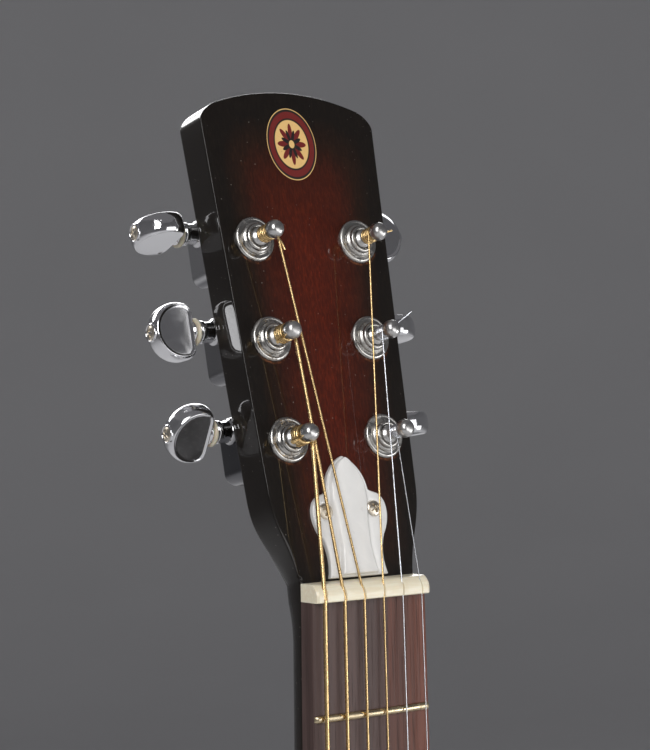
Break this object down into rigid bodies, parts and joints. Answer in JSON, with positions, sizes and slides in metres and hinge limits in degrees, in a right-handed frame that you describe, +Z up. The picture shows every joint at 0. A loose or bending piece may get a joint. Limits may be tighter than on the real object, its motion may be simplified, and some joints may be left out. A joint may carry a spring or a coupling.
{
  "type": "resonator guitar",
  "caption": "Round-neck wooden guitar with a metal cone and spider bridge under a round cover plate, slotted for sound, with a solid headstock and geared tuners.",
  "frame": {"origin": "middle of the front face of the nut, level with the crown of the fingerboard, where a hanger or neck rest holds the neck", "axes": "+X towards the treble side, +Y towards the back of the body, +Z up the neck towards the headstock"},
  "size_m": [0.362, 0.126, 0.9901],
  "materials": {
    "sunburst_lacquer": "glossy lacquer, red-brown centre shading to black edges",
    "rosewood": "open-grained, oiled",
    "fret_wire": "polished nickel silver",
    "pearl": "pearly",
    "bone": "smooth, satin",
    "steel": "turned steel",
    "brass": "cut brass",
    "white_plastic": "glossy moulded",
    "chrome": "mirror plating with light wear",
    "nickel": "plated",
    "raw_wood": "bare spruce and birch",
    "cream_plastic": "glossy",
    "spun_aluminium": "spun",
    "cast_aluminium": "sand cast, polished",
    "maple": "bare, fine grain",
    "bronze_wound": "wound bronze over steel",
    "plain_steel": "drawn wire"
  },
  "bodies": {
    "root": {"back_plate": "sunburst_lacquer", "binding": "cream_plastic", "braces": "raw_wood", "cover_plate": "chrome", "end_blocks": "raw_wood", "fingerboard": "rosewood", "fret_markers": "pearl", "frets": "fret_wire", "linings": "raw_wood", "neck": "sunburst_lacquer", "nut": "bone", "palm_rest": "chrome", "resonator_cone": "spun_aluminium", "saddles": "maple", "sides": "sunburst_lacquer", "sound_hole_screens": "chrome", "soundboard": "sunburst_lacquer", "soundwell": "raw_wood", "spider_bridge": "cast_aluminium", "strap_buttons": "nickel", "string_1": "plain_steel", "string_2": "plain_steel", "string_3": "bronze_wound", "string_4": "bronze_wound", "string_5": "bronze_wound", "string_6": "bronze_wound", "tailpiece": "chrome", "tension_screw": "steel", "truss_rod": "steel", "truss_rod_cover": "white_plastic", "tuner_bushings": "chrome", "tuner_covers": "chrome", "tuner_housings": "chrome", "tuner_washers": "chrome", "wood_screws": "nickel"},
    "post_1": {"string_post_1": "chrome", "post_gear_1": "brass"},
    "button_1": {"worm_shaft_1": "steel", "tuner_button_1": "chrome"},
    "post_2": {"string_post_2": "chrome", "post_gear_2": "brass"},
    "button_2": {"worm_shaft_2": "steel", "tuner_button_2": "chrome"},
    "post_3": {"string_post_3": "chrome", "post_gear_3": "brass"},
    "button_3": {"worm_shaft_3": "steel", "tuner_button_3": "chrome"},
    "post_4": {"string_post_4": "chrome", "post_gear_4": "brass"},
    "button_4": {"worm_shaft_4": "steel", "tuner_button_4": "chrome"},
    "post_5": {"string_post_5": "chrome", "post_gear_5": "brass"},
    "button_5": {"worm_shaft_5": "steel", "tuner_button_5": "chrome"},
    "post_6": {"string_post_6": "chrome", "post_gear_6": "brass"},
    "button_6": {"worm_shaft_6": "steel", "tuner_button_6": "chrome"},
    "truss_nut": {"truss_rod_nut": "brass"}
  },
  "joints": [
    {"name": "button_turn_1", "type": "hinge", "parent": "root", "child": "button_1", "pos_m": [0.0351, 0.0368, 0.05226], "axis": [1, 0, 0], "continuous": true},
    {"name": "post_turn_1", "type": "hinge", "parent": "root", "child": "post_1", "pos_m": [0.0186, 0.01674, 0.04953], "axis": [0, -0.9763, 0.2164], "continuous": true, "deforming": ["string_1"]},
    {"name": "button_turn_2", "type": "hinge", "parent": "root", "child": "button_2", "pos_m": [0.0359, 0.04384, 0.08398], "axis": [1, 0, 0], "continuous": true},
    {"name": "post_turn_2", "type": "hinge", "parent": "root", "child": "post_2", "pos_m": [0.0194, 0.02377, 0.08126], "axis": [0, -0.9763, 0.2164], "continuous": true, "deforming": ["string_2"]},
    {"name": "button_turn_3", "type": "hinge", "parent": "root", "child": "button_3", "pos_m": [0.0368, 0.05087, 0.11571], "axis": [1, 0, 0], "continuous": true},
    {"name": "post_turn_3", "type": "hinge", "parent": "root", "child": "post_3", "pos_m": [0.0203, 0.03081, 0.11299], "axis": [0, -0.9763, 0.2164], "continuous": true, "deforming": ["string_3"]},
    {"name": "button_turn_4", "type": "hinge", "parent": "root", "child": "button_4", "pos_m": [-0.0368, 0.05087, 0.11571], "axis": [1, 0, 0], "continuous": true},
    {"name": "post_turn_4", "type": "hinge", "parent": "root", "child": "post_4", "pos_m": [-0.0203, 0.03081, 0.11299], "axis": [0, -0.9763, 0.2164], "continuous": true, "deforming": ["string_4"]},
    {"name": "button_turn_5", "type": "hinge", "parent": "root", "child": "button_5", "pos_m": [-0.0359, 0.04384, 0.08398], "axis": [1, 0, 0], "continuous": true},
    {"name": "post_turn_5", "type": "hinge", "parent": "root", "child": "post_5", "pos_m": [-0.0194, 0.02377, 0.08126], "axis": [0, -0.9763, 0.2164], "continuous": true, "deforming": ["string_5"]},
    {"name": "button_turn_6", "type": "hinge", "parent": "root", "child": "button_6", "pos_m": [-0.0351, 0.0368, 0.05226], "axis": [1, 0, 0], "continuous": true},
    {"name": "post_turn_6", "type": "hinge", "parent": "root", "child": "post_6", "pos_m": [-0.0186, 0.01674, 0.04953], "axis": [0, -0.9763, 0.2164], "continuous": true, "deforming": ["string_6"]},
    {"name": "truss_nut_turn", "type": "hinge", "parent": "root", "child": "truss_nut", "pos_m": [0, 0.013, 0.0107], "axis": [0, 0, 1], "range_deg": [-180, 180]}
  ],
  "couplings": [
    {"joint": "post_turn_1", "follows": "button_turn_1", "ratio": -0.071429},
    {"joint": "post_turn_2", "follows": "button_turn_2", "ratio": -0.071429},
    {"joint": "post_turn_3", "follows": "button_turn_3", "ratio": -0.071429},
    {"joint": "post_turn_4", "follows": "button_turn_4", "ratio": -0.071429},
    {"joint": "post_turn_5", "follows": "button_turn_5", "ratio": -0.071429},
    {"joint": "post_turn_6", "follows": "button_turn_6", "ratio": -0.071429}
  ]
}
